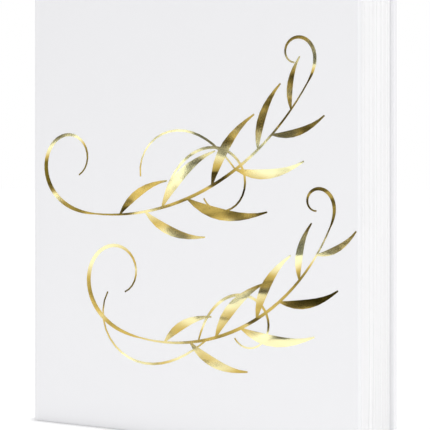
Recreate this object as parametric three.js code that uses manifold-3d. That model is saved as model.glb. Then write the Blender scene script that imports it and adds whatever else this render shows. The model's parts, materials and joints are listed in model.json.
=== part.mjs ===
// A case-bound wedding guest book, closed and standing on its tail edge.
// Millimetres, +Z up. The front cover faces -Y, the spine is at -X and the page edges are at +X.
// The origin is at the middle of the closed book's base.
import * as THREE from "three";
import { mergeVertices } from "three/addons/utils/BufferGeometryUtils.js";
import Module from "manifold-3d";

const wasm = await Module();
wasm.setup();

// ---- Driving dimensions ----
const coverWidth = 185; // spine to fore edge
const coverHeight = 240; // tail to head
const boardThickness = 2.5; // grey board in both covers
const spineBoardThickness = 2;
const coverPaper = 0.25; // the laminated white sheet round the boards
const turnIn = 15; // how far that sheet folds round to the inside
const glue = 0.05; // glue line between pasted layers
const foreSquare = 2; // how far the boards stand out past the pages at the fore edge
const endSquare = 4; // and at the head and the tail
const pastedown = 0.2; // endpaper half that is glued to the board
const pastedownMargin = 3; // cover paper that shows round the pastedown
const flyleaf = 0.25; // endpaper half that is free
const leaf = 0.37; // one heavy leaf
const leavesInHalf = 6; // leaves on each side of a section's fold
const sectionCount = 7; // odd, so that the book opens inside its middle section
const leafGap = 0.1; // air between neighbouring groups of leaves
const jointWidth = 3; // paper hinge along each of the spine's long edges
const cornerRadius = 1.6; // of that hinge where it turns round the corner
const hollow = 0.8; // air behind the spine board
const liningThickness = 0.25;
const liningShort = 2; // the lining stops this far from the ends of the pages
const gauzeThickness = 0.3;
const wingThickness = 0.2; // the gauze where it is pressed flat under a pastedown
const wingWidth = 25;
const gauzeShort = 18; // the gauze stops this far from the ends of the pages
const threadThickness = 0.4;
const threadSlit = 0.6; // slit in a section's fold that the thread lies in
const slitDepth = 2.3; // from the back of the fold to the bottom of that slit
const foldRadius = 1.7; // of a section's folded back
const stitchLength = 45;
const firstStitch = 30; // from the ends of the pages
const firstCrease = 4; // from the outermost section's back to where its leaves turn
const beadRadius = 0.9; // of the headbands
const bandThickness = 0.3;
const bandSkirt = 12; // headband tape that is glued down the spine
const foilThickness = 0.06;
const hairline = 0.75; // the thinnest foil line
const foilMargin = 2; // least width of plain cover left round the foil
const foilSheet = [181, 236]; // the sprays are drawn on a sheet of this size, which is fitted to the cover

// ---- Sizes that follow from them ----
const coverStack = coverPaper + glue + boardThickness + glue + coverPaper + glue + pastedown;
const halfThickness = leavesInHalf * leaf;
const halfPitch = halfThickness + leafGap;
const halfCount = 2 * sectionCount;
const blockThickness = halfCount * halfPitch - leafGap;
const flyleafY = blockThickness / 2 + leafGap; // a flyleaf's inner face, counted from the middle
const pastedownY = flyleafY + flyleaf + leafGap;
const faceY = pastedownY + coverStack; // the covers' outer faces
const boardY = faceY - coverPaper - glue; // the boards' outer faces
const turnInY = boardY - boardThickness - glue; // the turn-ins' outer faces
const spineX = -coverWidth / 2;
const foreX = coverWidth / 2;
const jointX = spineX + jointWidth;
const spineBoardX = spineX + coverPaper + glue;
const liningX = spineBoardX + spineBoardThickness + hollow;
const gauzeX = liningX + liningThickness + glue;
const threadX = gauzeX + gauzeThickness + glue;
const blockX = threadX + threadThickness + glue;
const pageForeX = foreX - foreSquare;
const pageLow = endSquare;
const pageHigh = coverHeight - endSquare;
const foilScale = Math.min(
  (coverWidth - 2 * foilMargin) / foilSheet[0],
  (coverHeight - 2 * foilMargin) / foilSheet[1],
);

// ---- Materials ----
const material = (color, roughness, metalness = 0) =>
  new THREE.MeshStandardMaterial({ color, roughness, metalness });
const whiteLaminate = material(0xf0f0f2, 0.45);
const greyBoard = material(0x9b958a, 0.9);
const pagePaper = material(0xf7f6f2, 0.85);
const endPaper = material(0xfaf9f6, 0.8);
const gauzeCloth = material(0xe6e1d2, 0.95);
const kraftPaper = material(0xc8a878, 0.9);
const linenThread = material(0xf2eee2, 0.7);
const bandCloth = material(0xf5f2ea, 0.8);
const goldFoil = material(0xc9a048, 0.22, 1);

const guestBook = new THREE.Group();

// ---- Making solids ----
function addMesh(name, geometry, finish) {
  const mesh = new THREE.Mesh(geometry, finish);
  mesh.name = name;
  guestBook.add(mesh);
  return mesh;
}

// A box that fills the space between two corners.
function boxGeometry([x0, y0, z0], [x1, y1, z1]) {
  const geometry = new THREE.BoxGeometry(x1 - x0, y1 - y0, z1 - z0);
  return geometry.translate((x0 + x1) / 2, (y0 + y1) / 2, (z0 + z1) / 2);
}

const addBox = (name, low, high, finish) => addMesh(name, boxGeometry(low, high), finish);

// A solid that joining and cutting can use.
function toSolid(geometry) {
  geometry.deleteAttribute("normal");
  geometry.deleteAttribute("uv");
  const merged = mergeVertices(geometry, 1e-4);
  return new wasm.Manifold(
    new wasm.Mesh({
      numProp: 3,
      vertProperties: merged.attributes.position.array,
      triVerts: new Uint32Array(merged.index.array),
    }),
  );
}

const boxSolid = (low, high) => toSolid(boxGeometry(low, high));

function toGeometry(solid) {
  const mesh = solid.getMesh();
  const geometry = new THREE.BufferGeometry();
  geometry.setAttribute("position", new THREE.BufferAttribute(mesh.vertProperties, 3));
  geometry.setIndex(new THREE.BufferAttribute(mesh.triVerts, 1));
  geometry.computeVertexNormals();
  return geometry;
}

// An outline in two directions, pushed out along the third.
function prism(outline, depth) {
  const shape = new THREE.Shape(outline.map(([x, y]) => new THREE.Vector2(x, y)));
  return new THREE.ExtrudeGeometry(shape, { depth, bevelEnabled: false });
}

// Points on an arc about a centre, from one angle in degrees to another.
function arc([x, y], radius, from, to, steps = 5) {
  return Array.from({ length: steps + 1 }, (_, i) => {
    const angle = THREE.MathUtils.degToRad(from + ((to - from) * i) / steps);
    return [x + radius * Math.cos(angle), y + radius * Math.sin(angle)];
  });
}

// The front (side -1) and the back (side +1) mirror each other in Y. This gives a layer's low and
// high Y from the places of its outer and inner faces, both counted from the middle of the book.
const layer = (side, outer, inner) => (side > 0 ? [inner, outer] : [-outer, -inner]);

// ---- The case ----
function addCover(name, side) {
  const startX = jointX + glue;
  const wrap = coverPaper + glue;

  const [boardLow, boardHigh] = layer(side, boardY, boardY - boardThickness);
  addBox(
    `${name}_board`,
    [startX, boardLow, wrap],
    [foreX - wrap, boardHigh, coverHeight - wrap],
    greyBoard,
  );

  // The cover paper is a tray round the board, with a window between its turn-ins.
  const [trayLow, trayHigh] = layer(side, faceY, turnInY - coverPaper);
  const [roomLow, roomHigh] = layer(side, faceY - coverPaper, turnInY);
  const [windowLow, windowHigh] = layer(side, faceY - coverPaper, turnInY - 2 * coverPaper);
  const tray = boxSolid([startX, trayLow, 0], [foreX, trayHigh, coverHeight]);
  const room = boxSolid(
    [startX - 1, roomLow, coverPaper],
    [foreX - coverPaper, roomHigh, coverHeight - coverPaper],
  );
  const window = boxSolid(
    [startX - 1, windowLow, turnIn],
    [foreX - turnIn, windowHigh, coverHeight - turnIn],
  );
  addMesh(`${name}_cover_paper`, toGeometry(tray.subtract(room).subtract(window)), whiteLaminate);

  // The gauze's wing lies on the board inside that window, under the pastedown.
  const [wingLow, wingHigh] = layer(side, turnInY, turnInY - wingThickness);
  addBox(
    `${name}_gauze_wing`,
    [startX, wingLow, pageLow + gauzeShort],
    [startX + wingWidth, wingHigh, pageHigh - gauzeShort],
    gauzeCloth,
  );

  const [pasteLow, pasteHigh] = layer(side, pastedownY + pastedown, pastedownY);
  addBox(
    `${name}_pastedown`,
    [startX, pasteLow, pastedownMargin],
    [foreX - pastedownMargin, pasteHigh, coverHeight - pastedownMargin],
    endPaper,
  );
}

// The strip of cover paper that turns round the spine's corner and lets a cover swing.
function addJointPaper(name, side) {
  const centre = [spineX + cornerRadius, side * (faceY - cornerRadius)];
  const outward = side * 90;
  const endX = jointX - glue;
  const outline = [
    ...arc(centre, cornerRadius, side * 180, outward),
    [endX, side * faceY],
    [endX, side * (faceY - coverPaper)],
    ...arc(centre, cornerRadius - coverPaper, outward, side * 180),
  ];
  addMesh(name, prism(outline, coverHeight), whiteLaminate);
}

function addSpineCase() {
  const flat = faceY - cornerRadius - glue; // half the spine's flat width
  const wrap = coverPaper + glue;
  const turnInX = spineBoardX + spineBoardThickness + glue;
  addBox(
    "spine_board",
    [spineBoardX, -flat, wrap],
    [spineBoardX + spineBoardThickness, flat, coverHeight - wrap],
    greyBoard,
  );
  const around = boxSolid([spineX, -flat, 0], [turnInX + coverPaper, flat, coverHeight]);
  const room = boxSolid(
    [spineX + coverPaper, -flat - 1, coverPaper],
    [turnInX, flat + 1, coverHeight - coverPaper],
  );
  const window = boxSolid(
    [spineX + coverPaper, -flat - 1, turnIn],
    [liningX, flat + 1, coverHeight - turnIn],
  );
  addMesh("spine_cover_paper", toGeometry(around.subtract(room).subtract(window)), whiteLaminate);
}

// ---- What holds the pages' backs together ----
function addSpineLayers() {
  const half = blockThickness / 2;
  addBox(
    "spine_lining",
    [liningX, -half, pageLow + liningShort],
    [liningX + liningThickness, half, pageHigh - liningShort],
    kraftPaper,
  );
  addBox(
    "spine_gauze",
    [gauzeX, -half, pageLow + gauzeShort],
    [gauzeX + gauzeThickness, half, pageHigh - gauzeShort],
    gauzeCloth,
  );
}

// A bead along one end of the pages, on a tape that is glued down their backs.
function addBand(name, pageEnd, outward) {
  const half = blockThickness / 2;
  const beadZ = pageEnd + outward * (beadRadius + glue);
  const tapeEnd = pageEnd - outward * bandSkirt;
  const bead = new THREE.CylinderGeometry(beadRadius, beadRadius, blockThickness, 12);
  bead.translate(gauzeX + beadRadius, 0, beadZ);
  const tape = boxSolid(
    [gauzeX, -half, Math.min(beadZ, tapeEnd)],
    [gauzeX + bandThickness, half, Math.max(beadZ, tapeEnd)],
  );
  addMesh(name, toGeometry(toSolid(bead).add(tape)), bandCloth);
}

// ---- The sections ----
// The leaves on each side of a section's fold move together. These halves are counted from the
// front: the front half of the book turns towards the front cover, and the rest towards the back.
// The crease that a half turns on lies further from the spine towards the middle of the book, by
// the half's own thickness each time, so turned halves lie side by side.
const halfY = (i) => -blockThickness / 2 + i * halfPitch;
const creaseX = (i) => blockX + firstCrease + Math.min(i, halfCount - 1 - i) * halfPitch;

// Heights of the four holes that a section's thread passes through.
function stitchHoles() {
  const low = pageLow + firstStitch;
  const high = pageHigh - firstStitch;
  return [low, low + stitchLength, high - stitchLength, high];
}

function addFold(section) {
  const front = 2 * section;
  const back = front + 1;
  const low = halfY(front);
  const high = halfY(back) + halfThickness;
  const middle = (low + high) / 2;
  const slitX = blockX + slitDepth;
  const outline = [
    [creaseX(front), low],
    [creaseX(front), middle - threadSlit / 2],
    [slitX, middle - threadSlit / 2],
    [slitX, middle + threadSlit / 2],
    [creaseX(back), middle + threadSlit / 2],
    [creaseX(back), high],
    ...arc([blockX + foldRadius, high - foldRadius], foldRadius, 90, 180),
    ...arc([blockX + foldRadius, low + foldRadius], foldRadius, 180, 270),
  ];
  let fold = toSolid(prism(outline, pageHigh - pageLow).translate(0, 0, pageLow));
  const reach = threadThickness / 2 + glue;
  for (const z of stitchHoles()) {
    const hole = boxSolid(
      [blockX - 1, middle - threadSlit / 2, z - reach],
      [slitX + 1, middle + threadSlit / 2, z + reach],
    );
    fold = fold.subtract(hole);
  }
  addMesh(`section_${section + 1}_fold`, toGeometry(fold), pagePaper);
}

// The thread runs inside the fold between the first two holes and the last two, and behind it
// between the middle ones.
function addThread(section) {
  const middle = halfY(2 * section) + halfThickness + leafGap / 2;
  const half = threadThickness / 2;
  const insideX = blockX + slitDepth + glue;
  const stretch = (x0, x1, z0, z1) =>
    boxSolid([x0, middle - half, z0 - half], [x1 + threadThickness, middle + half, z1 + half]);
  const [a, b, c, d] = stitchHoles();
  let thread = stretch(insideX, insideX, a, b)
    .add(stretch(threadX, threadX, b, c))
    .add(stretch(insideX, insideX, c, d));
  for (const z of [a, b, c, d]) thread = thread.add(stretch(threadX, insideX, z, z));
  addMesh(`section_${section + 1}_thread`, toGeometry(thread), linenThread);
}

function addLeaves(name, i) {
  addBox(
    name,
    [creaseX(i) + leafGap, halfY(i), pageLow],
    [pageForeX, halfY(i) + halfThickness, pageHigh],
    pagePaper,
  );
}

// A flyleaf's crease is its own thickness nearer the spine than that of the leaves it lies on.
function addFlyleaf(name, side) {
  const [low, high] = layer(side, flyleafY + flyleaf, flyleafY);
  addBox(name, [creaseX(0) - flyleaf - leafGap, low, pageLow], [pageForeX, high, pageHigh], endPaper);
}

// ---- The foil ornament: two leafy sprays that rise across the front cover ----
// A pen line of the given length that starts at a point, with a heading in degrees. It turns by
// bend degrees in all, more and more tightly when tighten is over 0. Places are from the drawing
// sheet's lower left corner, and the sheet is fitted to the middle of the cover.
function penLine([x, z], heading, length, bend, tighten = 0) {
  const steps = Math.max(8, Math.round(Math.abs(bend) / 9), Math.round(length / 5));
  const points = [[x, z]];
  for (let i = 0; i < steps; i++) {
    const t = (i + 0.5) / steps;
    const turned = bend * t * (1 - tighten + tighten * t);
    const angle = THREE.MathUtils.degToRad(heading + turned);
    x += (length / steps) * Math.cos(angle);
    z += (length / steps) * Math.sin(angle);
    points.push([x, z]);
  }
  return points;
}

// The heading of a pen line, in degrees, at one of its points.
function headingAt(line, i) {
  const [x0, z0] = line[Math.max(i - 1, 0)];
  const [x1, z1] = line[Math.min(i + 1, line.length - 1)];
  return THREE.MathUtils.radToDeg(Math.atan2(z1 - z0, x1 - x0));
}

// The solid that a pen leaves along a line. Its width swells from a hairline to width and back,
// and the swelling is widest at the share peak of the line's length.
function penStroke(line, width, peak = 0.45) {
  const sides = [[], []];
  line.forEach(([x, z], i) => {
    const t = i / (line.length - 1);
    const swell = Math.sin(Math.PI * Math.pow(t, Math.log(0.5) / Math.log(peak))) ** 1.4;
    const half = (hairline + (width - hairline) * swell) / 2;
    const across = THREE.MathUtils.degToRad(headingAt(line, i) + 90);
    sides[0].push([x - half * Math.cos(across), z - half * Math.sin(across)]);
    sides[1].unshift([x + half * Math.cos(across), z + half * Math.sin(across)]);
  });
  const geometry = prism([...sides[0], ...sides[1]], foilThickness);
  geometry.translate(-foilSheet[0] / 2, -foilSheet[1] / 2, 0);
  geometry.scale(foilScale, foilScale, 1);
  return toSolid(geometry.rotateX(Math.PI / 2).translate(0, -faceY, coverHeight / 2));
}

// A spray is a stem with leaves on both sides, a curl at its foot and a tendril at its tip.
function addSpray(name, spray) {
  const stem = penLine(spray.foot, spray.heading, spray.length, spray.bend);
  let foil = penStroke(stem, spray.stemWidth);
  for (let n = 0; n < spray.leaves; n++) {
    const share = (n + 1) / (spray.leaves + 1);
    const at = Math.round(share * (stem.length - 1));
    const above = n % 2 ? -1 : 1;
    const length = spray.leafLength * (1 - 0.45 * Math.abs(2 * share - 0.8));
    const blade = penLine(stem[at], headingAt(stem, at) + above * spray.spread, length, -above * 48);
    foil = foil.add(penStroke(blade, spray.leafWidth * (length / spray.leafLength), 0.4));
  }
  for (const curl of spray.curls) {
    const at = Math.round(curl.share * (stem.length - 1));
    const heading = headingAt(stem, at) + curl.turn;
    const line = penLine(stem[at], heading, curl.length, curl.bend, 0.75);
    foil = foil.add(penStroke(line, curl.width, 0.35));
  }
  addMesh(name, toGeometry(foil), goldFoil);
}

// ---- Assembly ----
addCover("front", -1);
addCover("back", 1);
addJointPaper("front_joint_paper", -1);
addJointPaper("back_joint_paper", 1);
addSpineCase();
addSpineLayers();
addBand("headband", pageHigh, 1);
addBand("tailband", pageLow, -1);
for (let section = 0; section < sectionCount; section++) {
  addFold(section);
  addThread(section);
  addLeaves(`section_${section + 1}_front_leaves`, 2 * section);
  addLeaves(`section_${section + 1}_back_leaves`, 2 * section + 1);
}
addFlyleaf("front_flyleaf", -1);
addFlyleaf("back_flyleaf", 1);
addSpray("foil_upper_spray", {
  foot: [37, 104],
  heading: -4,
  length: 142,
  bend: 62,
  stemWidth: 1.6,
  leaves: 9,
  leafLength: 46,
  leafWidth: 5.6,
  spread: 52,
  curls: [
    { share: 0, turn: 180, length: 96, bend: -330, width: 2.4 },
    { share: 0.3, turn: 62, length: 104, bend: -318, width: 1.4 },
    { share: 0.62, turn: 96, length: 74, bend: 150, width: 1.2 },
    { share: 1, turn: 0, length: 44, bend: 300, width: 1.8 },
  ],
});
addSpray("foil_lower_spray", {
  foot: [64, 44],
  heading: -10,
  length: 128,
  bend: 76,
  stemWidth: 1.6,
  leaves: 8,
  leafLength: 42,
  leafWidth: 5.6,
  spread: 52,
  curls: [
    { share: 0, turn: 180, length: 104, bend: -330, width: 2.4 },
    { share: 0.28, turn: 64, length: 84, bend: -312, width: 1.4 },
    { share: 0.3, turn: 204, length: 88, bend: -160, width: 1.2 },
    { share: 1, turn: 0, length: 38, bend: 300, width: 1.8 },
  ],
});

export default guestBook;
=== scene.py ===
# %% [markdown]
# # A wedding guest book
# The book is case-bound: a stiff case of paper-covered board round a block of sewn leaves. Here it
# stands closed on its tail edge. Its structure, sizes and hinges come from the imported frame, and
# this lesson builds what the eye sees round them. +X runs from the spine to the page edges, the
# front cover faces -Y, and +Z is up.

# %% Load the frame
import json
import math

import bmesh
import bpy
import numpy as np
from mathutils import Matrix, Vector


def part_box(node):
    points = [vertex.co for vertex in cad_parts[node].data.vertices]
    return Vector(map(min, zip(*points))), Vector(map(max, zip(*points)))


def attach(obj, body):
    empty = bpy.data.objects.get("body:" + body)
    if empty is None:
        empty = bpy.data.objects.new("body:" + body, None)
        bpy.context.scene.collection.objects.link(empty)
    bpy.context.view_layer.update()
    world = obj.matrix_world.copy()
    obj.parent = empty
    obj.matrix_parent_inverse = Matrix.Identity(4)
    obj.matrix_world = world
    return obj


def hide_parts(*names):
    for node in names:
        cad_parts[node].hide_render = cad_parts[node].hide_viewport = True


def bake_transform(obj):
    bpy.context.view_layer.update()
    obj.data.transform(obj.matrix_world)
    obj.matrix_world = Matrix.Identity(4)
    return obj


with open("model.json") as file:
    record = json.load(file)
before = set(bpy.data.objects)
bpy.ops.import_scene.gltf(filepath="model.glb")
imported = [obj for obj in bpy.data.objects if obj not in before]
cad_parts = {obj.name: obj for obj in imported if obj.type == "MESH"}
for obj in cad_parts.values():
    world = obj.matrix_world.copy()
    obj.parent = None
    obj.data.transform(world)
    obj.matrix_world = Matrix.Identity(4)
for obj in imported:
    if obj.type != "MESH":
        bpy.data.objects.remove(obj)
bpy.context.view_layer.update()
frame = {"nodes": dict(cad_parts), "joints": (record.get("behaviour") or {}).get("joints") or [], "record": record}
MM = 0.001
joints = {joint["name"]: joint for joint in frame["joints"]}

# %% [markdown]
# ## Places that the whole lesson uses
# Every place is read from the frame, so a piece always fits the solid that it stands for. The
# covers turn on a line at the board's edge, and each group of leaves turns on its own crease.

# %% Measure the frame
cover_low, cover_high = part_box("front_cover_paper")
case_low, case_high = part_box("spine_cover_paper")
joint_low, joint_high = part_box("front_joint_paper")
FOLD_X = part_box("section_1_fold")[0].x
SPINE_X, JOINT_X, FORE_X = case_low.x, joints["front_cover_hinge"]["pos_m"][0], cover_high.x
FACE_Y = -cover_low.y
HEIGHT = cover_high.z
COVER_DEPTH = cover_high.y - cover_low.y
CORNER = joint_high.y - joint_low.y  # the joint's solid is as deep as its rounded corner
PAPER = 0.25 * MM  # the cover sheet
BOARD_ROUND = 0.45 * MM  # paper drawn over a board's edge rounds it a little
TURN_IN = 15 * MM  # how far the cover sheet is folded to the inside
SECTIONS = 7
LEAVES = 6  # in each half of a section
SIDES = (("front", -1), ("back", 1))  # each cover's name, and the side of Y that it is on
print("cover", [round(v / MM, 2) for v in (FORE_X - SPINE_X, HEIGHT, 2 * FACE_Y)], "mm")

# %% [markdown]
# ## The camera
# The book is seen from its right front, from a little under the middle of its height, with a long
# lens held level, so its upright edges stay parallel. Tilting the camera down would make them
# lean together, so the lens is shifted instead, as is done for tall upright things.

# %% Place the camera
VIEW_ANGLE = math.radians(32.2)  # round from straight in front, towards the page edges
EYE_HEIGHT = 122.7 * MM
EYE_BACK = 649 * MM  # from the front cover's fore edge back to the eye
EYE_LEFT = 63.8 * MM  # and from that edge to the left
SENSOR_WIDTH = 36
LENS_LENGTH = 122.3
LENS_RISE = -0.081
across = Vector((math.cos(VIEW_ANGLE), math.sin(VIEW_ANGLE), 0))
ahead = Vector((-math.sin(VIEW_ANGLE), math.cos(VIEW_ANGLE), 0))
near_edge = Vector((FORE_X, -FACE_Y, EYE_HEIGHT))
camera_data = bpy.data.cameras.new("camera")
camera = bpy.data.objects.new("camera", camera_data)
bpy.context.scene.collection.objects.link(camera)
camera.location = near_edge - EYE_LEFT * across - EYE_BACK * ahead
camera.rotation_euler = (math.radians(90), 0, VIEW_ANGLE)
camera_data.sensor_width = SENSOR_WIDTH
camera_data.lens = LENS_LENGTH
camera_data.shift_y = LENS_RISE
bpy.context.scene.camera = camera
print("camera at", [round(v, 3) for v in camera.location])

# %% [markdown]
# ## Tools to start a piece and pick its parts
# A piece is begun as a primitive at its own place and size. By hand, its faces and edges would be
# clicked with the mouse. A click can't be repeated when a size changes, so these helpers pick them
# by where they are and which way they face.


# %% Start a block and pick its parts
def clear_selection():
    """Goes back to object mode with nothing selected, so that an operator acts on one piece only."""
    if bpy.context.object and bpy.context.object.mode != "OBJECT":
        bpy.ops.object.mode_set(mode="OBJECT")
    bpy.ops.object.select_all(action="DESELECT")


def add_block(name, low, high):
    """A cube primitive that fills the space between two corners, with its place in its mesh."""
    clear_selection()
    low, high = Vector(low), Vector(high)
    bpy.ops.mesh.primitive_cube_add(size=1, location=(low + high) / 2)
    block = bpy.context.object
    block.name = block.data.name = name
    block.scale = high - low
    bpy.ops.object.transform_apply(location=True, rotation=True, scale=True)
    return block


def pick_faces(piece, wanted):
    """In edit mode, selects just the faces whose centre and normal are wanted."""
    bpy.ops.mesh.select_mode(type="FACE")
    bpy.ops.mesh.select_all(action="DESELECT")
    shape = bmesh.from_edit_mesh(piece.data)
    for face in shape.faces:
        face.select_set(wanted(face.calc_center_median(), face.normal))
    bmesh.update_edit_mesh(piece.data)


def pick_edges(piece, wanted):
    """In edit mode, selects just the edges whose two ends are wanted."""
    bpy.ops.mesh.select_mode(type="EDGE")
    bpy.ops.mesh.select_all(action="DESELECT")
    shape = bmesh.from_edit_mesh(piece.data)
    for edge in shape.edges:
        edge.select_set(wanted(edge.verts[0].co, edge.verts[1].co))
    bmesh.update_edit_mesh(piece.data)


def near(a, b):
    return abs(a - b) < 0.01 * MM


print("tools:", [tool.__name__ for tool in (add_block, pick_faces, pick_edges, near)])

# %% [markdown]
# ## Tools to thicken and finish a piece
# Paper is a sheet with a small thickness, so a piece is shaped as a bare sheet first, which is
# easy to bend and cut, and a Solidify modifier thickens it last. Then what is round is smoothed by
# angle, so that a folded edge stays crisp, and the piece gets its one material.


# %% Thicken and finish a piece
def select_only(piece):
    clear_selection()
    bpy.context.view_layer.objects.active = piece
    piece.select_set(True)


def thicken(piece, thickness, offset=-1):
    """Gives a sheet its thickness: inwards at offset -1, both ways at 0."""
    select_only(piece)
    solid = piece.modifiers.new("thickness", "SOLIDIFY")
    solid.thickness = thickness
    solid.offset = offset
    solid.use_even_offset = True
    bpy.ops.object.modifier_apply(modifier=solid.name)


def finish_piece(piece, material, smooth_angle=35):
    """Smooths what is round, keeps what is creased, and gives the piece its material."""
    select_only(piece)
    bpy.ops.object.shade_smooth_by_angle(angle=math.radians(smooth_angle))
    piece.data.materials.clear()
    piece.data.materials.append(material)
    clear_selection()


print("tools:", [tool.__name__ for tool in (select_only, thicken, finish_piece)])

# %% [markdown]
# ## Paper fibres, for every paper finish
# Every paper here has fibres: a fine mottle in its tone and a faint unevenness that low light
# picks up. An image of paper would repeat and blur close up, and noise does neither. It is a group
# with named values, so that one pattern serves laminate, leaves, endpapers, board and the fine
# grain of the foil at their own scales and strengths.


# %% A group for paper fibres
def new_group(name, inputs, outputs):
    """A shader group with named number inputs, and each named output a plain number too."""
    group = bpy.data.node_groups.new(name, "ShaderNodeTree")
    for label, value in inputs.items():
        socket = group.interface.new_socket(label, in_out="INPUT", socket_type="NodeSocketFloat")
        socket.default_value = value
    for label in outputs:
        group.interface.new_socket(label, in_out="OUTPUT", socket_type="NodeSocketFloat")
    return group, group.nodes.new("NodeGroupInput"), group.nodes.new("NodeGroupOutput")


def add_math(group, operation, first, second=None):
    node = group.nodes.new("ShaderNodeMath")
    node.operation = operation
    for socket, value in zip(node.inputs, (first, second)):
        if isinstance(value, (int, float)):
            socket.default_value = value
        elif value is not None:
            group.links.new(value, socket)
    return node.outputs[0]


def add_noise(group, vector, scale, detail, roughness=0.5):
    node = group.nodes.new("ShaderNodeTexNoise")
    node.inputs["Detail"].default_value = detail
    node.inputs["Roughness"].default_value = roughness
    if isinstance(scale, (int, float)):
        node.inputs["Scale"].default_value = scale
    else:
        group.links.new(scale, node.inputs["Scale"])
    group.links.new(vector, node.inputs["Vector"])
    return node.outputs["Fac"]


def paper_fibre_group():
    group, given, result = new_group(
        "paper_fibre",
        {"Fibre Scale": 900, "Mottle Scale": 60, "Mottle": 0.02},
        ("Tone", "Height"),
    )
    place = group.nodes.new("ShaderNodeTexCoord").outputs["Object"]
    fibres = add_noise(group, place, given.outputs["Fibre Scale"], detail=4, roughness=0.65)
    clouds = add_noise(group, place, given.outputs["Mottle Scale"], detail=3)
    # Noise is about a half on average, so that much is taken off, and the tone swings round 1.
    swing = add_math(group, "SUBTRACT", clouds, 0.5)
    scaled = add_math(group, "MULTIPLY", swing, given.outputs["Mottle"])
    grain = add_math(group, "MULTIPLY", add_math(group, "SUBTRACT", fibres, 0.5), 0.5)
    fine = add_math(group, "MULTIPLY", grain, given.outputs["Mottle"])
    tone = add_math(group, "ADD", add_math(group, "ADD", scaled, fine), 1.0)
    group.links.new(tone, result.inputs["Tone"])
    group.links.new(fibres, result.inputs["Height"])
    return group


paper_fibre = paper_fibre_group()
print("paper fibre group has", len(paper_fibre.nodes), "nodes")


# %% [markdown]
# ## Woven thread, for every cloth finish
# Gauze, linen thread and band cloth are all made of crossing or winding threads. Real threads could
# be modelled one by one, but a gauze has thousands, hidden in the spine. Two sine waves that cross
# give the same ridges for almost nothing, and one group serves all three at their own counts.


# %% A group for woven thread
def woven_group():
    group, given, result = new_group("woven_threads", {"Threads Per Metre": 1200}, ("Thread",))
    place = group.nodes.new("ShaderNodeTexCoord").outputs["Object"]
    split = group.nodes.new("ShaderNodeSeparateXYZ")
    group.links.new(place, split.inputs[0])
    turns = add_math(group, "MULTIPLY", given.outputs["Threads Per Metre"], math.pi)
    sides = add_math(group, "ADD", split.outputs["X"], split.outputs["Y"])
    columns = add_math(group, "MULTIPLY", sides, turns)
    weft = add_math(group, "ABSOLUTE", add_math(group, "SINE", columns))
    rows = add_math(group, "MULTIPLY", split.outputs["Z"], turns)
    warp = add_math(group, "ABSOLUTE", add_math(group, "SINE", rows))
    thread = add_math(group, "MAXIMUM", weft, warp)
    group.links.new(thread, result.inputs["Thread"])
    return group


woven_threads = woven_group()
print("woven group has", len(woven_threads.nodes), "nodes")


# %% [markdown]
# ## Paper and board finishes
# The case is covered in a white sheet with a silky laminate: almost smooth, a little cool, with a
# soft sheen. The leaves are heavy uncoated paper, brighter and dull. The boards are mottled grey
# pulp. A plain colour would look like plastic, so the fibre group moves each one's tone, gloss and
# height a little. One function makes all five, because only their values differ.


# %% Paper materials
GLOSS_SWING = 0.05  # how far the fibres move the roughness either way


def new_material(name, color, roughness):
    material = bpy.data.materials.new(name)
    material.use_nodes = True
    shader = material.node_tree.nodes["Principled BSDF"]
    shader.inputs["Base Color"].default_value = (*color, 1)
    shader.inputs["Roughness"].default_value = roughness
    return material, material.node_tree, shader


def tint(tree, color, tone):
    """A colour whose brightness follows a tone value."""
    mix = tree.nodes.new("ShaderNodeVectorMath")
    mix.operation = "SCALE"
    mix.inputs[0].default_value = color
    tree.links.new(tone, mix.inputs["Scale"])
    return mix.outputs[0]


def bump(tree, shader, height, distance):
    """Lets a height from 0 to 1 stand for that distance of relief."""
    node = tree.nodes.new("ShaderNodeBump")
    node.inputs["Distance"].default_value = distance
    tree.links.new(height, node.inputs["Height"])
    tree.links.new(node.outputs["Normal"], shader.inputs["Normal"])


def paper_material(name, color, roughness, fibre_scale, mottle, depth):
    material, tree, shader = new_material(name, color, roughness)
    fibre = tree.nodes.new("ShaderNodeGroup")
    fibre.node_tree = paper_fibre
    fibre.inputs["Fibre Scale"].default_value = fibre_scale
    fibre.inputs["Mottle"].default_value = mottle
    tree.links.new(tint(tree, color, fibre.outputs["Tone"]), shader.inputs["Base Color"])
    swing = tree.nodes.new("ShaderNodeMapRange")
    swing.inputs["To Min"].default_value = roughness - GLOSS_SWING
    swing.inputs["To Max"].default_value = roughness + GLOSS_SWING
    tree.links.new(fibre.outputs["Height"], swing.inputs["Value"])
    tree.links.new(swing.outputs["Result"], shader.inputs["Roughness"])
    bump(tree, shader, fibre.outputs["Height"], depth)
    return material


PAPERS = (  # name, colour, roughness, fibre scale, mottle, relief
    ("silky_white_laminate", (0.868, 0.868, 0.884), 0.42, 1400, 0.012, 0.006 * MM),
    ("uncoated_leaf_paper", (0.975, 0.973, 0.978), 0.85, 2200, 0.03, 0.02 * MM),
    ("smooth_endpaper", (0.93, 0.93, 0.935), 0.8, 1800, 0.03, 0.02 * MM),
    ("pulp_board", (0.34, 0.31, 0.27), 0.9, 700, 0.35, 0.06 * MM),
    ("brown_lining_paper", (0.58, 0.39, 0.19), 0.88, 900, 0.2, 0.03 * MM),
)
laminate, page_paper, endpaper, grey_board, kraft = (paper_material(*row) for row in PAPERS)
print("papers", [m.name for m in (laminate, page_paper, endpaper, grey_board, kraft)])


# %% [markdown]
# ## Cloth finishes
# Open gauze holds the backs of the sections, linen thread sews them, and a fine thread winds the
# bands. Threads catch light on their ridges and go dark between them, so the woven group moves the
# height, and paints that light and shade into the tone: painted highlight on the ridges, painted
# shade between them. A little sheen stands for the fuzz that is too fine to model.

# %% Cloth materials
# The two tones below are painted shade between the threads and painted highlight on their ridges.
THREAD_PAINTED_SHADE, THREAD_PAINTED_HIGHLIGHT = 0.7, 1.04  # tone between the threads and on their ridges
FUZZ = 0.25


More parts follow.
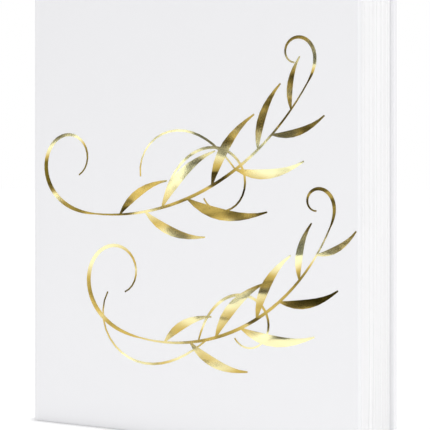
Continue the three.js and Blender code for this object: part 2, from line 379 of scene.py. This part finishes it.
def cloth_material(name, color, roughness, threads_per_metre, depth):
    material, tree, shader = new_material(name, color, roughness)
    weave = tree.nodes.new("ShaderNodeGroup")
    weave.node_tree = woven_threads
    weave.inputs["Threads Per Metre"].default_value = threads_per_metre
    # The tone is painted shade between the threads and painted highlight on their ridges.
    tone = tree.nodes.new("ShaderNodeMapRange")
    tone.inputs["To Min"].default_value = THREAD_PAINTED_SHADE
    tone.inputs["To Max"].default_value = THREAD_PAINTED_HIGHLIGHT
    tree.links.new(weave.outputs["Thread"], tone.inputs["Value"])
    tree.links.new(tint(tree, color, tone.outputs["Result"]), shader.inputs["Base Color"])
    bump(tree, shader, weave.outputs["Thread"], depth)
    shader.inputs["Sheen Weight"].default_value = FUZZ
    return material


CLOTHS = (  # name, colour, roughness, threads per metre, relief
    ("binding_gauze", (0.79, 0.75, 0.65), 0.95, 700, 0.1 * MM),
    ("sewing_linen", (0.89, 0.86, 0.77), 0.8, 2500, 0.05 * MM),
    ("band_thread", (0.92, 0.9, 0.84), 0.75, 3000, 0.03 * MM),
)
gauze, linen, band_cloth = (cloth_material(*row) for row in CLOTHS)
print("cloths", [m.name for m in (gauze, linen, band_cloth)])


# %% [markdown]
# ## Gold foil
# Foil is a mirror-bright metal film pressed into the cover. It isn't quite flat: the die leaves
# slow ripples, so neighbouring places mirror different parts of the room, and one stroke runs
# from dark bronze through gold to pale yellow. A plain gold metal would show one tone per stroke,
# since a flat cover mirrors one place. So a stretched noise ripples the height, and the same noise
# moves the colour between a painted dark reflection and a painted bright reflection, with gold
# between them, and the fibre group adds the grain of the paper under the foil.


# %% Foil material
# The dark bronze and pale lemon ends of the foil's colour are painted reflections of dark and bright parts of the
# room.
PAINTED_DARK_REFLECTION, GOLD, PAINTED_BRIGHT_REFLECTION = (0.17, 0.125, 0.018, 1), (0.62, 0.45, 0.12, 1), (1.0, 0.94, 0.54, 1)
PAINTED_DARK_BELOW, PAINTED_BRIGHT_ABOVE = 0.36, 0.64  # of the ripples' height
RIPPLE_SLANT = math.radians(-62)
RIPPLE_STRETCH = 2.4
RIPPLE_SCALE = 26
GRAIN_SCALE, GRAIN_MOTTLE = 1500, 0.3
FOIL_RELIEF = 4 * MM
GRAIN_SHARE = 0.006  # of that relief


def foil_material():
    material, tree, shader = new_material("pressed_foil", (0.83, 0.61, 0.22), 0.16)
    shader.inputs["Metallic"].default_value = 1
    place = tree.nodes.new("ShaderNodeTexCoord").outputs["Object"]
    slant = tree.nodes.new("ShaderNodeMapping")
    slant.inputs["Rotation"].default_value = (0, RIPPLE_SLANT, 0)
    slant.inputs["Scale"].default_value = (1, 1, RIPPLE_STRETCH)
    tree.links.new(place, slant.inputs["Vector"])
    ripples = add_noise(tree, slant.outputs["Vector"], RIPPLE_SCALE, detail=1.5, roughness=0.4)
    # This ramp paints reflections into the colour: dark bronze where the ripples are low, pale lemon where they
    # are high.
    painted_reflection_ramp = tree.nodes.new("ShaderNodeValToRGB")
    ramp = painted_reflection_ramp.color_ramp
    ramp.elements[0].position, ramp.elements[0].color = PAINTED_DARK_BELOW, PAINTED_DARK_REFLECTION
    ramp.elements[1].position, ramp.elements[1].color = PAINTED_BRIGHT_ABOVE, PAINTED_BRIGHT_REFLECTION
    ramp.elements.new((PAINTED_DARK_BELOW + PAINTED_BRIGHT_ABOVE) / 2).color = GOLD
    tree.links.new(ripples, painted_reflection_ramp.inputs["Fac"])
    grain = tree.nodes.new("ShaderNodeGroup")
    grain.node_tree = paper_fibre
    grain.inputs["Fibre Scale"].default_value = GRAIN_SCALE
    grain.inputs["Mottle"].default_value = GRAIN_MOTTLE
    speckled = tree.nodes.new("ShaderNodeVectorMath")
    speckled.operation = "SCALE"
    tree.links.new(painted_reflection_ramp.outputs["Color"], speckled.inputs[0])
    tree.links.new(grain.outputs["Tone"], speckled.inputs["Scale"])
    tree.links.new(speckled.outputs[0], shader.inputs["Base Color"])
    fine = add_math(tree, "MULTIPLY", grain.outputs["Height"], GRAIN_SHARE)
    bump(tree, shader, add_math(tree, "ADD", ripples, fine), FOIL_RELIEF)
    return material


gold_foil = foil_material()
print("foil", gold_foil.name)

# %% [markdown]
# ## Pieces that the frame already shapes
# The boards, the gauze, the lining, the sewing thread and the foil sprays have their true shape in
# the frame, so they stay as they are and only take a finish, looked up by the slot that the record
# gives them. The loop dresses every node, even those that a piece below replaces and hides, so
# that none is left bare.

# %% Finish the frame's own pieces
FRAME_FINISHES = {
    "gold_foil": gold_foil,
    "grey_board": grey_board,
    "gauze": gauze,
    "kraft_paper": kraft,
    "linen_thread": linen,
    "white_laminated_paper": laminate,
    "page_paper": page_paper,
    "endpaper": endpaper,
    "band_cloth": band_cloth,
}
for part in frame["record"]["subparts"]:
    node = frame["nodes"][part["node"]]
    node.data.materials.clear()
    node.data.materials.append(FRAME_FINISHES[part["material_slot"]])


# %% [markdown]
# ## The cover paper round each board
# One sheet is pasted to the board's outer side, drawn over its edges and turned in. A block of the
# wrapped board's size is rounded along the edges that the paper is drawn over. The side at the
# joint is taken off, a window is opened between the turn-ins, and the shell gets the paper's
# thickness. The turn-ins could be folded flap by flap, but bevelling a block gives the corners
# their soft, pulled-over look in one step.


# %% Wrap the boards
FACING = 0.9  # a normal this far along an axis faces that way
ROUND_SEGMENTS = 4


def wrap_board(name, side):
    outer, inner = side * FACE_Y, side * (FACE_Y - COVER_DEPTH)
    low = (JOINT_X, min(outer, inner), 0)
    high = (FORE_X, max(outer, inner), HEIGHT)
    wrap = add_block(f"{name}_cover_wrap", low, high)
    bpy.ops.object.mode_set(mode="EDIT")
    pick_edges(wrap, lambda a, b: not (near(a.x, JOINT_X) and near(b.x, JOINT_X)))
    bpy.ops.mesh.bevel(offset=BOARD_ROUND, segments=ROUND_SEGMENTS, affect="EDGES")
    pick_faces(wrap, lambda c, n: n.x < -FACING)
    bpy.ops.mesh.delete(type="FACE")
    pick_faces(wrap, lambda c, n: n.y * side < -FACING and near(c.y, inner))
    bpy.ops.mesh.inset(thickness=TURN_IN - BOARD_ROUND, depth=0)
    bpy.ops.mesh.delete(type="FACE")
    pick_faces(wrap, lambda c, n: n.y * side < -FACING and c.x < JOINT_X + TURN_IN / 2)
    bpy.ops.mesh.delete(type="FACE")
    bpy.ops.object.mode_set(mode="OBJECT")
    thicken(wrap, PAPER)
    finish_piece(wrap, laminate)
    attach(wrap, f"{name}_cover")
    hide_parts(f"{name}_cover_paper")
    return wrap


for name, side in SIDES:
    wrap = wrap_board(name, side)
    print(wrap.name, len(wrap.data.polygons), "faces")


# %% [markdown]
# ## The joints
# At each long edge of the spine, the same sheet turns the corner and becomes a hinge. A rigid
# corner piece would tear away from the cover as it opens. So it starts as a flat strip with many
# narrow rows, because those rows bend when the cover swings, and its spine-side edge is spun a
# quarter turn round the corner.


# %% Turn the joints' corners
JOINT_ROWS, JOINT_STRIPES, CORNER_STEPS = 14, 12, 8
JOINT_THICKNESS = 2 * PAPER - 0.02 * MM  # the sheet with its turn-in behind it, less a hair
SHORT_EDGE = 1.5 * PAPER  # wider than a row and thinner than the strip
END_ROUND = 0.2 * MM


def joint_strip(name, side):
    outer = side * FACE_Y
    start = SPINE_X + CORNER
    clear_selection()
    bpy.ops.mesh.primitive_grid_add(
        x_subdivisions=JOINT_ROWS, y_subdivisions=JOINT_STRIPES, size=1
    )
    strip = bpy.context.object
    strip.name = strip.data.name = f"{name}_joint_wrap"
    strip.rotation_euler.x = math.radians(90)
    strip.scale = (JOINT_X - start, HEIGHT, 1)
    strip.location = ((start + JOINT_X) / 2, outer, HEIGHT / 2)
    bpy.ops.object.transform_apply(location=True, rotation=True, scale=True)
    bpy.ops.object.mode_set(mode="EDIT")
    pick_edges(strip, lambda a, b: near(a.x, start) and near(b.x, start))
    bpy.ops.mesh.spin(
        steps=CORNER_STEPS,
        angle=-side * math.radians(90),
        center=(start, outer - side * CORNER, 0),
        axis=(0, 0, 1),
    )
    bpy.ops.mesh.select_all(action="SELECT")
    bpy.ops.mesh.remove_doubles(threshold=0.001 * MM)
    bpy.ops.mesh.normals_make_consistent(inside=False)
    bpy.ops.object.mode_set(mode="OBJECT")
    # An open sheet has no inside, so the last step may leave it facing inwards.
    flat = max(strip.data.polygons, key=lambda face: face.center.x)
    if flat.normal.y * side < 0:
        strip.data.flip_normals()
    thicken(strip, JOINT_THICKNESS)
    bpy.ops.object.mode_set(mode="EDIT")
    for end in (0, HEIGHT):
        pick_edges(
            strip,
            lambda a, b: near(a.z, end) and near(b.z, end) and (a - b).length < SHORT_EDGE,
        )
        bpy.ops.mesh.bevel(offset=END_ROUND, segments=3, affect="EDGES")
    bpy.ops.object.mode_set(mode="OBJECT")
    finish_piece(strip, laminate)
    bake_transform(strip)
    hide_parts(f"{name}_joint_paper")
    return strip


for name, side in SIDES:
    strip = joint_strip(name, side)
    print(strip.name, [round(v / MM, 2) for v in strip.dimensions])

# %% [markdown]
# ## The spine of the case
# The spine board is wrapped as the covers are, but the sheet runs on into the joints at both
# sides, so only its head and tail edges are rounded and turned in. Two cuts mark where the turn-ins
# end, and what lies between them on the inside is bare board, so that part is deleted.

# %% Wrap the spine board
spine_half = FACE_Y - CORNER
spine_wrap = add_block("spine_wrap", (SPINE_X, -spine_half, 0), (case_high.x, spine_half, HEIGHT))
bpy.ops.object.mode_set(mode="EDIT")
pick_edges(spine_wrap, lambda a, b: near(a.z, b.z) and near(a.x, b.x))
bpy.ops.mesh.bevel(offset=BOARD_ROUND, segments=ROUND_SEGMENTS, affect="EDGES")
pick_faces(spine_wrap, lambda c, n: abs(n.y) > FACING)
bpy.ops.mesh.delete(type="FACE")
for cut in (TURN_IN, HEIGHT - TURN_IN):
    pick_faces(spine_wrap, lambda c, n: n.x > FACING)
    bpy.ops.mesh.bisect(plane_co=(0, 0, cut), plane_no=(0, 0, 1))
pick_faces(spine_wrap, lambda c, n: n.x > FACING and TURN_IN < c.z < HEIGHT - TURN_IN)
bpy.ops.mesh.delete(type="FACE")
bpy.ops.object.mode_set(mode="OBJECT")
thicken(spine_wrap, PAPER)
finish_piece(spine_wrap, laminate)
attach(spine_wrap, "spine")
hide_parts("spine_cover_paper")
print(spine_wrap.name, len(spine_wrap.data.polygons), "faces")

# %% [markdown]
# ## The endpapers' pasted halves
# An endpaper is one folded sheet. One half is pasted to the board, the other is free, and between
# them a narrow hinge crosses the joint. The pasted half shows a faint step where it lies over the
# turn-ins. Bump could fake that line, but the step is real in the book, so the face is inset to it
# and again while it sinks, which is what pasting down does to the sheet.

# %% Paste the endpapers down
STEP = 0.12 * MM  # how far the pasted half sinks inside the turn-ins
STEP_WIDTH = 1.2 * MM


def paste_down(name, side):
    low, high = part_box(f"{name}_pastedown")
    sheet = add_block(f"{name}_pastedown_sheet", (JOINT_X, low.y, low.z), high)
    bpy.ops.object.mode_set(mode="EDIT")
    pick_faces(sheet, lambda c, n: n.y * side < -FACING)
    bpy.ops.mesh.inset(thickness=TURN_IN - (FORE_X - high.x), depth=0)
    bpy.ops.mesh.inset(thickness=STEP_WIDTH, depth=-STEP)
    bpy.ops.object.mode_set(mode="OBJECT")
    finish_piece(sheet, endpaper, smooth_angle=1)
    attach(sheet, f"{name}_cover")
    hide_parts(f"{name}_pastedown")
    return sheet


for name, side in SIDES:
    print(paste_down(name, side).name)


# %% [markdown]
# ## The endpapers' hinges
# Where the endpaper crosses from the board to the pages, it bends each time the cover swings. If
# the pasted half simply ran on, it would stay stiff and break away from the fold. A narrow strip of
# many rows goes there, held by the spine at one end and by the cover at the other.


# %% The endpapers' hinges
HINGE_ROWS, HINGE_STRIPES = 16, 4


def endpaper_hinge(name):
    low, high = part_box(f"{name}_pastedown")
    start, end = FOLD_X, JOINT_X
    clear_selection()
    bpy.ops.mesh.primitive_grid_add(
        x_subdivisions=HINGE_ROWS, y_subdivisions=HINGE_STRIPES, size=1
    )
    strip = bpy.context.object
    strip.name = strip.data.name = f"{name}_endpaper_hinge"
    strip.rotation_euler.x = math.radians(90)
    strip.scale = (start - end, high.z - low.z, 1)
    strip.location = ((start + end) / 2, (low.y + high.y) / 2, (low.z + high.z) / 2)
    bpy.ops.object.transform_apply(location=True, rotation=True, scale=True)
    thicken(strip, high.y - low.y, offset=0)
    finish_piece(strip, endpaper)
    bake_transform(strip)
    return strip


for name, side in SIDES:
    print(endpaper_hinge(name).name)


# %% [markdown]
# ## Flat grids for the leaves
# A section is six sheets folded together and sewn through the fold, so each half of it is six
# leaves. They could be one block with lines on its side, but then the book couldn't open. A grid
# primitive, copied six times by an Array modifier, gives each leaf its own rows to bend at.

# %% Flat grids for the leaves
LEAF_THICKNESS = 0.28 * MM
BEND_ZONE = 2.5 * MM  # from the crease to where a leaf is straight again
FOLD_ROWS, FLAT_ROWS, BEND_ROWS, FREE_ROWS = 6, 2, 10, 14
ROWS = FOLD_ROWS + FLAT_ROWS + BEND_ROWS + FREE_ROWS
STRIPES = 16


def add_grids(name, copies):
    """Flat grids, one per leaf, as one piece: rows run from the fold to the fore edge."""
    clear_selection()
    bpy.ops.mesh.primitive_grid_add(x_subdivisions=ROWS, y_subdivisions=STRIPES, size=1)
    piece = bpy.context.object
    piece.name = piece.data.name = name
    if copies > 1:
        stack = piece.modifiers.new("stack", "ARRAY")
        stack.count = copies
        stack.relative_offset_displace = (0, 1.5, 0)
        bpy.ops.object.modifier_apply(modifier=stack.name)
    return piece


def read_grids(piece, copies):
    """Each grid's vertices, and for any one of them its row and its share of the way up."""
    places = np.zeros(len(piece.data.vertices) * 3)
    piece.data.vertices.foreach_get("co", places)
    places = places.reshape(copies, -1, 3)
    row = np.rint((places[0, :, 0] + 0.5) * ROWS).astype(int)
    return places, row, places[0, :, 1] + 0.5


def write_grids(piece, places):
    piece.data.vertices.foreach_set("co", places.ravel())
    piece.data.update()


print("a leaf has", ROWS, "rows of", STRIPES, "faces")

# %% [markdown]
# ## Where a leaf runs
# A leaf comes round the back of its fold, runs flat to its crease, bends there and goes on to the
# fore edge. Loose leaves never lie perfectly flat, so a slow wave opens thin gaps between them
# towards the fore edge, and near the tail the whole block leans. No operator lays 84 nested paths
# that must not touch, so the places are worked out here, from each leaf's order in the book. Near
# leaves get nearly the same wave, which is what keeps them apart.

# %% Where a leaf runs
STIFF = 15 * MM  # this near its crease a leaf doesn't stray
TAIL = 0.4  # the share of the height where the block leans
LEAN = -1.6  # millimetres at the tail, towards the front
RIPPLE, TAIL_RIPPLE = 0.09, 0.03  # millimetres, and how much more of it at the tail
SLOW_WAVES, QUICK_WAVES = 3.3, 7.3  # from one cover to the other
QUICK_SHARE = 0.6


def leaf_path(centre_x, radius, crease, fore):
    """Places along a leaf from the back of its fold: X, and the distance from the fold's middle."""
    turn = np.linspace(math.pi, math.pi / 2, FOLD_ROWS + 1)
    flat = np.linspace(centre_x, crease, FLAT_ROWS + 1)[1:]
    bend = np.linspace(crease, crease + BEND_ZONE, BEND_ROWS + 1)[1:]
    free = np.linspace(crease + BEND_ZONE, fore, FREE_ROWS + 1)[1:]
    x = np.concatenate([centre_x + radius * np.cos(turn), flat, bend, free])
    away = np.concatenate([radius * np.sin(turn), np.full(len(x) - len(turn), radius)])
    return x, away


def wave(order, x, z, crease, fore, height):
    """How far a leaf strays from flat: order runs from 0 at the front of the book to 1."""
    free = np.clip((x - crease - STIFF) / (fore - crease - STIFF), 0, 1)
    free = free * free * (3 - 2 * free)
    tail = np.clip(1 - z / (TAIL * height), 0, 1) ** 2
    slow = np.sin(2 * math.pi * SLOW_WAVES * order + 0.8 + 1.5 * z / height)
    quick = np.sin(2 * math.pi * QUICK_WAVES * order + 2.0 + 3.0 * z / height)
    ripple = (RIPPLE + TAIL_RIPPLE * tail) * (slow + QUICK_SHARE * quick)
    return (ripple + LEAN * tail) * MM * free * math.sin(math.pi * order)


print("the middle leaf leans", round(-LEAN, 1), "mm at its tail")

# %% [markdown]
# ## The leaves
# Each half-section is laid leaf by leaf and then thickened all at once. No two real leaves are
# trimmed quite alike, so each one ends a little short by chance, from a seed that repeats.

# %% Lay the leaves
FORE_UNEVEN, END_UNEVEN = 0.16, 0.12  # millimetres that a leaf may be short there
chance = np.random.default_rng(7)


def lay_leaves(name, node, middle, side, crease, first):
    """One half of a section: leaves between the node's faces, on one side of the fold's middle."""
    low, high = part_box(node)
    pitch = (high.y - low.y) / LEAVES
    gap = abs((high.y if side < 0 else low.y) - middle)
    outermost = gap + (LEAVES - 0.5) * pitch
    piece = add_grids(f"{name}_sheets", LEAVES)
    places, row, share = read_grids(piece, LEAVES)
    for k in range(LEAVES):
        radius = gap + (k + 0.5) * pitch
        fore = high.x - chance.uniform(0, FORE_UNEVEN) * MM
        x, away = leaf_path(FOLD_X + outermost + pitch / 2, radius, crease, fore)
        tail_end = low.z + chance.uniform(0, END_UNEVEN) * MM
        head_end = high.z - chance.uniform(0, END_UNEVEN) * MM
        z = tail_end + share * (head_end - tail_end)
        order = (first + (LEAVES - 1 - k if side < 0 else k) + 0.5) / (2 * SECTIONS * LEAVES)
        y = middle + side * away[row] + wave(order, x[row], z, crease, fore, HEIGHT)
        places[k] = np.stack([x[row], y, z], axis=1)
    write_grids(piece, places)
    thicken(piece, LEAF_THICKNESS, offset=0)
    bpy.ops.object.mode_set(mode="EDIT")
    bpy.ops.mesh.select_all(action="SELECT")
    bpy.ops.mesh.normals_make_consistent(inside=False)
    bpy.ops.object.mode_set(mode="OBJECT")
    finish_piece(piece, page_paper)
    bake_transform(piece)
    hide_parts(node)
    return piece


for section in range(SECTIONS):
    fold = f"section_{section + 1}_fold"
    low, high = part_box(fold)
    middle = (low.y + high.y) / 2
    for half, side in SIDES:
        name = f"section_{section + 1}_{half}"
        crease = joints[f"{name}_turn"]["pos_m"][0]
        first = (2 * section + (side > 0)) * LEAVES
        sheets = lay_leaves(name, f"{name}_leaves", middle, side, crease, first)
        if side < 0:
            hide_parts(fold)
print("laid", 2 * SECTIONS * LEAVES, "leaves")

# %% [markdown]
# ## The flyleaves
# The free half of an endpaper is laid as a leaf is, on its own. It has no fold of its own to come
# round: it is tipped flat to the section beside it, and it lies straight between that and its
# cover, so it needs no wave.


# %% Lay the flyleaves
def lay_flyleaf(name):
    low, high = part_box(f"{name}_flyleaf")
    crease = joints[f"{name}_flyleaf_turn"]["pos_m"][0]
    bend_end = crease + BEND_ZONE
    piece = add_grids(f"{name}_flyleaf_sheet", 1)
    places, row, share = read_grids(piece, 1)
    glued = np.linspace(FOLD_X, crease, FOLD_ROWS + FLAT_ROWS + 1)
    bend = np.linspace(crease, bend_end, BEND_ROWS + 1)[1:]
    free = np.linspace(bend_end, high.x, FREE_ROWS + 1)[1:]
    x = np.concatenate([glued, bend, free])[row]
    y = np.full(len(x), (low.y + high.y) / 2)
    z = low.z + share * (high.z - low.z)
    places[0] = np.stack([x, y, z], axis=1)
    write_grids(piece, places)
    thicken(piece, high.y - low.y, offset=0)
    finish_piece(piece, endpaper)
    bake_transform(piece)
    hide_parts(f"{name}_flyleaf")
    return piece


for name, side in SIDES:
    print(lay_flyleaf(name).name)

# %% [markdown]
# ## Headband and tailband
# A band is a cord wrapped in thread, sewn to a tape that is glued down the backs of the sections.
# A ridged tube would show no single threads close up, and a real helix is one long curve that is
# slow to edit. One turn of the thread is a small ring instead, made once, and an Array modifier
# repeats it along the cord.

# %% Wind the bands
TURN_PITCH = 0.5 * MM
THREAD_RADIUS = 0.3 * MM
RING_SIDES, THREAD_SIDES = 14, 6
TAPE_EDGE = 0.08 * MM


def wind_band(name, outward):
    low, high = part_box(name)
    bead = (high.x - low.x) / 2
    centre_z = high.z - bead if outward > 0 else low.z + bead
    length = high.y - low.y
    turns = int(length / TURN_PITCH)
    clear_selection()
    bpy.ops.mesh.primitive_torus_add(
        major_radius=bead - THREAD_RADIUS,
        minor_radius=THREAD_RADIUS,
        major_segments=RING_SIDES,
        minor_segments=THREAD_SIDES,
        location=(low.x + bead, low.y + THREAD_RADIUS, centre_z),
        rotation=(math.radians(90), 0, 0),
    )
    band = bpy.context.object
    band.name = band.data.name = f"{name}_winding"
    bpy.ops.object.transform_apply(location=True, rotation=True, scale=True)
    rings = band.modifiers.new("turns", "ARRAY")
    rings.count = turns
    rings.use_relative_offset = False
    rings.use_constant_offset = True
    rings.constant_offset_displace = (0, (length - 2 * THREAD_RADIUS) / (turns - 1), 0)
    bpy.ops.object.modifier_apply(modifier=rings.name)
    finish_piece(band, band_cloth, smooth_angle=60)
    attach(band, "spine")
    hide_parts(name)
    add_tape(name, low, high, sorted((centre_z, low.z if outward > 0 else high.z)))
    return turns


def add_tape(name, low, high, ends):
    """The flat tape under a band, from the band's middle along the backs of the sections."""
    tape_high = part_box("spine_gauze")[1].x
    tape = add_block(f"{name}_tape", (low.x, low.y, ends[0]), (tape_high, high.y, ends[1]))
    edge = tape.modifiers.new("edge", "BEVEL")
    edge.width = TAPE_EDGE
    edge.segments = 2
    bpy.ops.object.modifier_apply(modifier=edge.name)
    finish_piece(tape, band_cloth)
    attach(tape, "spine")


for name, outward in (("headband", 1), ("tailband", -1)):
    print(name, wind_band(name, outward), "turns")

# %% [markdown]
# ## The table
# The book stands on a glowing white table, the usual set for a white product on white: the table's
# own light lifts it just past white, so no horizon shows. A glow would also wash out the shadow, so
# an ambient occlusion node dims it where the table is nearly covered, within a few millimetres of
# the book. That dimming is a painted contact shadow: the thin dark line that shows the book standing on something.

# %% The table
TABLE_WIDTH = 30
TABLE_GLOW = 0.36
SHADOW_REACH = 8 * MM
COVERED = 0.5  # where this little of the table is open, it doesn't glow at all

clear_selection()
bpy.ops.mesh.primitive_plane_add(size=1)
table = bpy.context.object
table.name = "table"
table.scale = (TABLE_WIDTH, TABLE_WIDTH, 1)
bpy.ops.object.transform_apply(location=True, rotation=True, scale=True)
table_white, table_tree, table_shader = new_material("glowing_table", (0.9, 0.9, 0.905), 0.95)
table_shader.inputs["Specular IOR Level"].default_value = 0
table_shader.inputs["Emission Color"].default_value = (1, 1, 1, 1)

# The glow is dimmed near the book by ambient occlusion: a painted contact shadow.
shade = table_tree.nodes.new("ShaderNodeAmbientOcclusion")
shade.samples = 8
shade.inputs["Distance"].default_value = SHADOW_REACH
glow = table_tree.nodes.new("ShaderNodeMapRange")
glow.interpolation_type = "SMOOTHSTEP"
glow.inputs["From Min"].default_value = COVERED
glow.inputs["To Max"].default_value = TABLE_GLOW
table_tree.links.new(shade.outputs["AO"], glow.inputs["Value"])
table_tree.links.new(glow.outputs["Result"], table_shader.inputs["Emission Strength"])
table.data.materials.append(table_white)
print("table", TABLE_WIDTH, "m wide, its glow fades within", SHADOW_REACH / MM, "mm of the book")

# %% [markdown]
# ## The sky
# An even white sky lights the book softly from all round. If it gave as much light as the white
# that is seen behind the book, a white cover would vanish into it, so the sky looks brighter to
# the camera than the light that it gives.

# %% The sky
SKY_LIGHT, SKY_SEEN = 0.74, 1.0

world = bpy.data.worlds.new("studio")
bpy.context.scene.world = world
world.use_nodes = True
sky = world.node_tree.nodes["Background"]
sky.inputs["Color"].default_value = (1, 1, 1, 1)
seen = world.node_tree.nodes.new("ShaderNodeLightPath")
sky_level = world.node_tree.nodes.new("ShaderNodeMapRange")
sky_level.inputs["To Min"].default_value = SKY_LIGHT
sky_level.inputs["To Max"].default_value = SKY_SEEN
world.node_tree.links.new(seen.outputs["Is Camera Ray"], sky_level.inputs["Value"])
world.node_tree.links.new(sky_level.outputs["Result"], sky.inputs["Strength"])
bpy.context.scene.view_settings.view_transform = "Standard"
print("sky gives", SKY_LIGHT, "and shows", SKY_SEEN)

# %% [markdown]
# ## The soft lights
# The page edges face right and are the brightest side, so the nearest light stands there, large
# and a little high. A second one in front keeps the cover from going grey. Area lights are used,
# because a small lamp would draw hard shadows between the leaves.

# %% The soft lights
BOOK_MIDDLE = (0, 0, 0.12)
SOFTBOXES = (  # name, place, width and height, watts
    ("right_softbox", (2.4, 0.1, 0.7), 1.6, 7),
    ("front_softbox", (1.2, -2.4, 1.0), 1.8, 8),
)


def add_softbox(name, place, size, power):
    data = bpy.data.lights.new(name, "AREA")
    data.shape = "RECTANGLE"
    data.size = data.size_y = size
    data.energy = power
    light = bpy.data.objects.new(name, data)
    bpy.context.scene.collection.objects.link(light)
    light.location = place
    towards = Vector(BOOK_MIDDLE) - Vector(place)
    light.rotation_euler = towards.to_track_quat("-Z", "Y").to_euler()
    return light


for softbox in SOFTBOXES:
    print(add_softbox(*softbox).name)

# %% [markdown]
# ## Cards for the foil to mirror
# In an even white room gold foil looks flat and pale, because it mirrors only white. Dark and
# bright cards stand where the foil looks, so that its ripples have something to pick up. Only
# reflections can see them, and they neither light the book nor shade it.

# %% Cards for the foil to mirror
CARD_DISTANCE = 1.4
CARD_LOW, CARD_HIGH = -0.5, 1.6
CARDS = (  # name, degrees to the left of straight in front, width, brightness
    ("left_dark_card", 58, 0.75, 0.03),
    ("middle_dark_card", 25, 0.30, 0.05),
    ("bright_card", 37, 0.18, 1.5),
)


def add_card(name, angle, width, brightness):
    """An upright card in front of the cover, turned to it, that only reflections can see."""
    clear_selection()
    bpy.ops.mesh.primitive_plane_add(size=1)
    card = bpy.context.object
    card.name = name
    card.scale = (width, CARD_HIGH - CARD_LOW, 1)
    turn = math.radians(angle)
    card.rotation_euler = (math.radians(90), 0, -turn)
    away = (-CARD_DISTANCE * math.sin(turn), -CARD_DISTANCE * math.cos(turn))
    card.location = (*away, (CARD_LOW + CARD_HIGH) / 2)
    bpy.ops.object.transform_apply(location=True, rotation=True, scale=True)
    surface, _, shader = new_material(name, (0, 0, 0), 1)
    shader.inputs["Specular IOR Level"].default_value = 0
    shader.inputs["Emission Color"].default_value = (1, 1, 1, 1)
    shader.inputs["Emission Strength"].default_value = brightness
    card.data.materials.append(surface)
    card.visible_camera = False
    card.visible_diffuse = False
    card.visible_shadow = False
    return card


for card in CARDS:
    print(add_card(*card).name)
